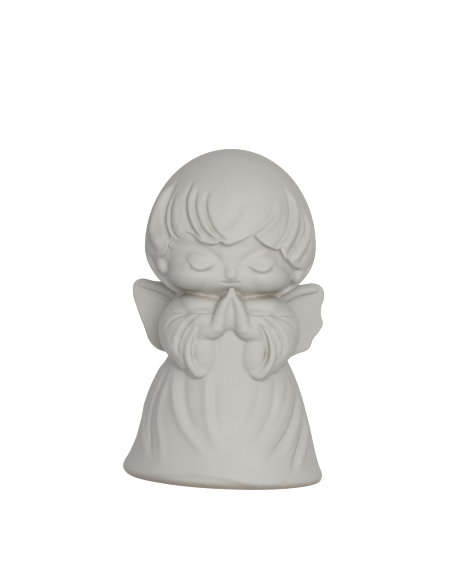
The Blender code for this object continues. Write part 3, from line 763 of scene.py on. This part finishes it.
def carve_face(clay):
    """Closed eyes, brows and mouth."""
    for side in (-1, 1):

        def mirrored(points):
            return on_front([(EYES_MIDDLE + side * x, z) for x, z in points])

        lashes = [
            (26.2, 134.2),
            (24.8, 132.3),
            (23, 130.6),
            (20.7, 129.5),
            (18.1, 129.1),
            (15.4, 129.5),
            (12.8, 130.5),
            (10.4, 131.6),
            (8, 132.5),
        ]
        brow = [
            (29, 140.6),
            (24, 141.8),
            (18.6, 141.6),
            (12.8, 139.6),
            (8.8, 137),
            (5.8, 133.4),
            (4.0, 128.5),
        ]
        clay.stroke(mirrored(lashes), 0.6, -1.4, lift=-0.4 * side, reach=2.4, fades=(0.2, 0.3))
        clay.stroke(mirrored(brow), 2.6, -1.5, fades=(0.55, 0.35))
    mouth = [(-7, 123.2), (-3.9, 122.2), (-0.9, 121.9), (2.2, 122.1), (5, 122.6), (7, 123.2)]
    clay.stroke(on_front(mouth), 0.65, -1.0)


# Strokes on the gown seen from the front: points as (x, z) from the waist down, width and height
GOWN_FOLDS = (
    (((-34, 74), (-41, 62), (-46, 50), (-48.5, 38), (-48.5, 26), (-46, 12)), 2.6, 0.9),
    (((-32, 74), (-38, 60), (-42.5, 48), (-44.5, 36), (-44, 22), (-42, 10)), 2.0, -0.9),
    (((-30, 74), (-35, 60), (-38.5, 48), (-39.5, 36), (-37.5, 24), (-36, 8)), 2.6, 0.9),
    (((-29, 74), (-31, 60), (-29.5, 46), (-24, 34), (-15, 24), (-6, 16)), 3.0, 1.3),
    (((-24, 70), (-25, 56), (-22, 42), (-15, 31)), 2.4, -0.8),
    (((-11, 72), (-12, 58), (-11, 44), (-8, 32), (-1, 21)), 2.6, 1.0),
    (((-6, 66), (-7, 54), (-6, 42), (-2, 31)), 2.4, -0.5),
    (((44, 70), (44, 58), (43, 46), (39, 35), (33, 26), (24, 15)), 1.9, -1.7),
    (((39, 66), (39, 54), (35, 42), (28, 31), (20, 22)), 2.6, 0.8),
    (((47, 66), (48.5, 52), (48.8, 41), (47.5, 31), (44, 20), (40, 8)), 1.9, -1.6),
    (((50, 60), (51.5, 46), (51, 34), (49, 24), (45, 10)), 2.4, 1.2),
    (((46, 62), (46.5, 50), (44.5, 38), (40, 27), (34, 16)), 2.2, 0.7),
    (((29, 70), (29, 56), (27, 44), (22, 34), (15, 25)), 2.0, -0.8),
    (((34, 68), (34, 56), (31, 44), (25, 33)), 2.2, 0.6),
    (((20, 66), (19, 54), (15, 42), (9, 31), (2, 23)), 2.0, -0.6),
)
# The crest where the hem turns under in front, drawn from left to right, and a chip in the edge
HEM_CREST = ((-52, 6), (-38, 7.2), (-26, 8.6), (-13.5, 9.2), (-1.5, 8.4), (8, 6.8), (16, 4.6), (25, 2.6))
HEM_CHIP = ((35.5, 5.2), (36.6, 4.0), (38.4, 2.6))


def carve_gown(clay):
    """Folds from under the sleeves, plainer ones down the back, and the hem turned under in front."""
    for line, width, height in GOWN_FOLDS:
        clay.stroke(on_front(line), width, height)
    for x in (-36, -22, -8, 7, 21, 35):
        clay.stroke(on_back([(x * 0.55, 66), (x * 0.8, 46), (x, 28), (x * 1.1, 10)]), 2.4, -1.2)
    clay.stroke(on_front(HEM_CREST), 2.2, 0.8, lift=0.9, reach=6.5, fades=(0.15, 0.3))
    clay.stroke(on_front(HEM_CHIP), 1.2, -0.5)


def carve_sleeves(clay):
    """Creases across the sleeves, and the hollow inside each cuff's rim."""
    for side in (-1, 1):

        def mirrored(points):
            return on_front([(body_x(side, x), z) for x, z in points])

        hollow = [(15.5, 100), (18.4, 95.5), (20.6, 90.5), (21.8, 85.5), (22, 80.5), (21, 76), (18.6, 72.4)]
        cuff_fold = [(17, 104.6), (22, 101.2), (26, 97.2), (28.8, 93), (30.8, 88), (31.6, 83), (31, 76)]
        cuff_ridge = [(24.5, 101), (28.8, 96.6), (32, 91.5), (33.8, 86.5), (34, 80)]
        crease = [(8, 105.2), (14, 104.3), (20.5, 104.2), (26.5, 103.8), (32.3, 103.2), (40, 102)]
        branch = [(22, 104), (28, 102.4), (33.5, 99.8), (37.5, 96.4), (39.5, 91)]
        clay.stroke(mirrored(hollow), 1.3, -0.9 - 0.3 * side, fades=(0.15, 0.25))
        clay.stroke(mirrored(cuff_fold), 1.2, -1.2)
        clay.stroke(mirrored(cuff_ridge), 1.6, 0.5)
        clay.stroke(mirrored(crease), 0.9, -0.9)
        clay.stroke(mirrored(branch), 1.1, -0.8)


def carve_wings(clay):
    """The crease under each wing's upper fold, and three feathers on its back."""
    for side in (-1, 1):

        def mirrored(points):
            return [(WINGS_MIDDLE + side * x, z) for x, z in points]

        clay.stroke(on_front(mirrored([(34, 101), (39, 106.5), (46, 109.5), (55, 111.5)])), 1.2, -0.9)
        for shift in (0, 9, 18):
            feather = [(34, 106 - shift), (43, 104 - shift), (52 - shift / 4, 97 - shift)]
            clay.stroke(on_back(mirrored(feather)), 1.4, -0.9)


def cut_underside(form):
    """Cuts the figure off level at the table."""
    bm = bmesh.new()
    bm.from_mesh(form.data)
    cut = bmesh.ops.bisect_plane(
        bm,
        geom=[*bm.verts, *bm.edges, *bm.faces],
        plane_co=(0, 0, 0),
        plane_no=(0, 0, -1),
        clear_outer=True,
    )
    rim = [e for e in cut["geom_cut"] if isinstance(e, bmesh.types.BMEdge)]
    bmesh.ops.triangle_fill(bm, edges=rim, use_beauty=True, normal=(0, 0, -1))
    bmesh.ops.recalc_face_normals(bm, faces=bm.faces)
    bm.to_mesh(form.data)
    bm.free()


def thin_out(form, triangles):
    """Merges faces where the surface is nearly flat until this many triangles are left."""
    thinner = form.modifiers.new("thinner", "DECIMATE")
    thinner.ratio = min(1.0, triangles / (2 * len(form.data.polygons)))
    bpy.context.view_layer.update()
    return mesh_of(form)


def build_angel(unit):
    """The whole figure as one object, in metres."""
    forms = head_forms()
    forms.append(oval_tower("gown", GOWN_LEVELS))
    for side in (-1, 1):
        forms += sleeve_forms(side)
        forms += hand_forms(side)
    forms += thumb_forms()
    forms += wing_forms()
    clay = Sculpture(split_finer(round_off(fuse(forms, CLAY_GRAIN), FACE_OPENING, WORN_EDGE, WORN_PASSES)))
    carve_hair(clay)
    carve_face(clay)
    carve_gown(clay)
    carve_sleeves(clay)
    carve_wings(clay)
    angel = thin_out(clay.finish(), TRIANGLES)
    cut_underside(angel)
    angel.data.transform(Matrix.Scale(unit, 4))
    angel.name = "praying_angel"
    angel.data.name = "praying_angel"
    angel.data.shade_smooth()
    return angel


class Shader:
    """A material's nodes, added and joined by short calls."""

    def __init__(self, name):
        self.material = bpy.data.materials.new(name)
        self.material.use_nodes = True
        self.tree = self.material.node_tree
        self.bsdf = self.tree.nodes["Principled BSDF"]

    def node(self, kind, inputs=None, **settings):
        made = self.tree.nodes.new(kind)
        for name, value in settings.items():
            setattr(made, name, value)
        for name, value in (inputs or {}).items():
            if isinstance(value, bpy.types.NodeSocket):
                self.tree.links.new(value, made.inputs[name])
            else:
                made.inputs[name].default_value = value
        return made

    def noise(self, scale, detail):
        place = self.node("ShaderNodeNewGeometry").outputs["Position"]
        made = self.node("ShaderNodeTexNoise", {"Vector": place, "Scale": scale, "Detail": detail})
        return made.outputs["Fac"]

    def ramp(self, fac, stops):
        """A colour between two stops, each a position and a colour."""
        made = self.node("ShaderNodeValToRGB", {"Fac": fac})
        for element, (position, colour) in zip(made.color_ramp.elements, stops):
            element.position = position
            element.color = (*colour, 1.0)
        return made.outputs["Color"]

    def multiply(self, a, b):
        """The product of two colours, whose sockets on the node are numbers 6 and 7."""
        made = self.node("ShaderNodeMix", data_type="RGBA", blend_type="MULTIPLY")
        made.inputs[0].default_value = 1.0
        self.tree.links.new(a, made.inputs[6])
        self.tree.links.new(b, made.inputs[7])
        return made.outputs[2]

    def bump(self, height, depth, under=None):
        """A relief of the given depth in metres, laid over the one under it."""
        made = self.node("ShaderNodeBump", {"Strength": BUMP_STRENGTH, "Distance": depth, "Height": height})
        if under is not None:
            self.tree.links.new(under, made.inputs["Normal"])
        return made.outputs["Normal"]


def stone():
    """White cast stone: matte, faintly mottled, with brown painted shade darkening the deepest creases."""
    s = Shader("cast_stone")
    mottled = s.ramp(s.noise(MOTTLE_SCALE, 4), [(0.3, STONE_DARK), (0.7, STONE_LIGHT)])
    # painted shade: the more the stone round a point hides it, the darker and browner its colour is painted
    hidden = s.node("ShaderNodeAmbientOcclusion", {"Distance": CREASE_REACH}, samples=8)
    crease = s.ramp(hidden.outputs["AO"], [(0.2, CREASE_SHADE_TINT), (0.85, NO_TINT)])
    s.tree.links.new(s.multiply(mottled, crease), s.bsdf.inputs["Base Color"])
    grain = s.noise(GRAIN_SCALE, 2)
    pits = s.noise(PIT_SCALE, 3)
    relief = s.bump(grain, GRAIN_DEPTH, under=s.bump(pits, PIT_DEPTH))
    s.tree.links.new(relief, s.bsdf.inputs["Normal"])
    s.bsdf.inputs["Roughness"].default_value = STONE_ROUGHNESS
    s.bsdf.inputs["Specular IOR Level"].default_value = STONE_GLOSS
    return s.material


def glowing(name, colour, glow):
    """A matte colour that also shines by itself, for the floor and the backdrop."""
    s = Shader(name)
    s.bsdf.inputs["Base Color"].default_value = (*colour, 1.0)
    s.bsdf.inputs["Roughness"].default_value = FLOOR_ROUGHNESS
    s.bsdf.inputs["Emission Color"].default_value = WHITE
    s.bsdf.inputs["Emission Strength"].default_value = glow
    return s.material


def studio_sweep():
    """A pale floor that curves up into a backdrop."""
    bm = bmesh.new()
    profile = [(FLOOR_FRONT, 0.0), (CURVE_START, 0.0)]
    for step in range(1, CURVE_STEPS + 1):
        a = math.pi / 2 * step / CURVE_STEPS
        profile.append((CURVE_START + CURVE_RADIUS * math.sin(a), CURVE_RADIUS * (1 - math.cos(a))))
    profile.append((CURVE_START + CURVE_RADIUS, BACKDROP_TOP))
    rows = [[bm.verts.new((x, y, z)) for x in (-FLOOR_HALF_WIDTH, FLOOR_HALF_WIDTH)] for y, z in profile]
    for (a, b), (c, d) in zip(rows, rows[1:]):
        bm.faces.new((a, b, d, c))
    mesh = bpy.data.meshes.new("studio_floor")
    bm.to_mesh(mesh)
    bm.free()
    mesh.shade_smooth()
    floor = bpy.data.objects.new("studio_floor", mesh)
    bpy.context.scene.collection.objects.link(floor)
    mesh.materials.append(glowing("studio_floor", FLOOR_COLOUR, FLOOR_GLOW))
    floor.visible_diffuse = False  # keeps its bounce from lighting the figure from below
    return floor


def soft_light(name, place, size, power):
    """A square light that faces the figure."""
    data = bpy.data.lights.new(name, "AREA")
    data.size = size
    data.energy = power
    light = bpy.data.objects.new(name, data)
    bpy.context.scene.collection.objects.link(light)
    light.location = place
    light.rotation_euler = (Vector(LIGHTS_AIM) - Vector(place)).to_track_quat("-Z", "Y").to_euler()


def light_studio():
    """An even white surround, a key light above in front and a weak fill low on the left."""
    world = bpy.data.worlds.new("studio")
    bpy.context.scene.world = world
    world.use_nodes = True
    background = world.node_tree.nodes["Background"]
    background.inputs["Color"].default_value = WHITE
    background.inputs["Strength"].default_value = WORLD_LIGHT
    soft_light("key", *KEY_LIGHT)
    soft_light("fill", *FILL_LIGHT)


def add_camera(middle):
    """The photograph's view, with the same pixel on the middle of the figure."""
    elevation = math.radians(CAMERA_ELEVATION)
    azimuth = math.radians(CAMERA_AZIMUTH)
    back = Vector(
        (
            math.sin(azimuth) * math.cos(elevation),
            -math.cos(azimuth) * math.cos(elevation),
            math.sin(elevation),
        )
    )
    data = bpy.data.cameras.new("camera")
    data.sensor_width = SENSOR_WIDTH
    data.lens = FOCAL_PIXELS / PICTURE[1] * SENSOR_WIDTH
    data.shift_x = (PICTURE[0] / 2 - MIDDLE_PIXEL[0]) / PICTURE[1]
    data.shift_y = (MIDDLE_PIXEL[1] - PICTURE[1] / 2) / PICTURE[1]
    data.clip_start = CLIP_START
    camera = bpy.data.objects.new("camera", data)
    bpy.context.scene.collection.objects.link(camera)
    facing = (-back).to_track_quat("-Z", "Y").to_matrix().to_4x4()
    turn = facing @ Matrix.Rotation(math.radians(CAMERA_ROLL), 4, "Z")
    camera.matrix_world = Matrix.Translation(middle + back * CAMERA_DISTANCE) @ turn
    bpy.context.scene.camera = camera


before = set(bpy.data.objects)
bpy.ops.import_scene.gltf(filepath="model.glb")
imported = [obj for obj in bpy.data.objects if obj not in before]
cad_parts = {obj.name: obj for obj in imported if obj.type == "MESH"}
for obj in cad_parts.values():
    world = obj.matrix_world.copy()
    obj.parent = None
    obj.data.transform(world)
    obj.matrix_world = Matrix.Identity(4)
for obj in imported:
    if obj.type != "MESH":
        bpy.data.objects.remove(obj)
cad_low, cad_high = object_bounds()
angel = build_angel(cad_high.z / UNITS)
angel.data.materials.clear()
angel.data.materials.append(stone())
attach(angel, "root")
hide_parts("angel")
studio_sweep()
light_studio()
add_camera(Vector((0, 0, cad_high.z / 2)))
bpy.context.scene.view_settings.view_transform = "Standard"
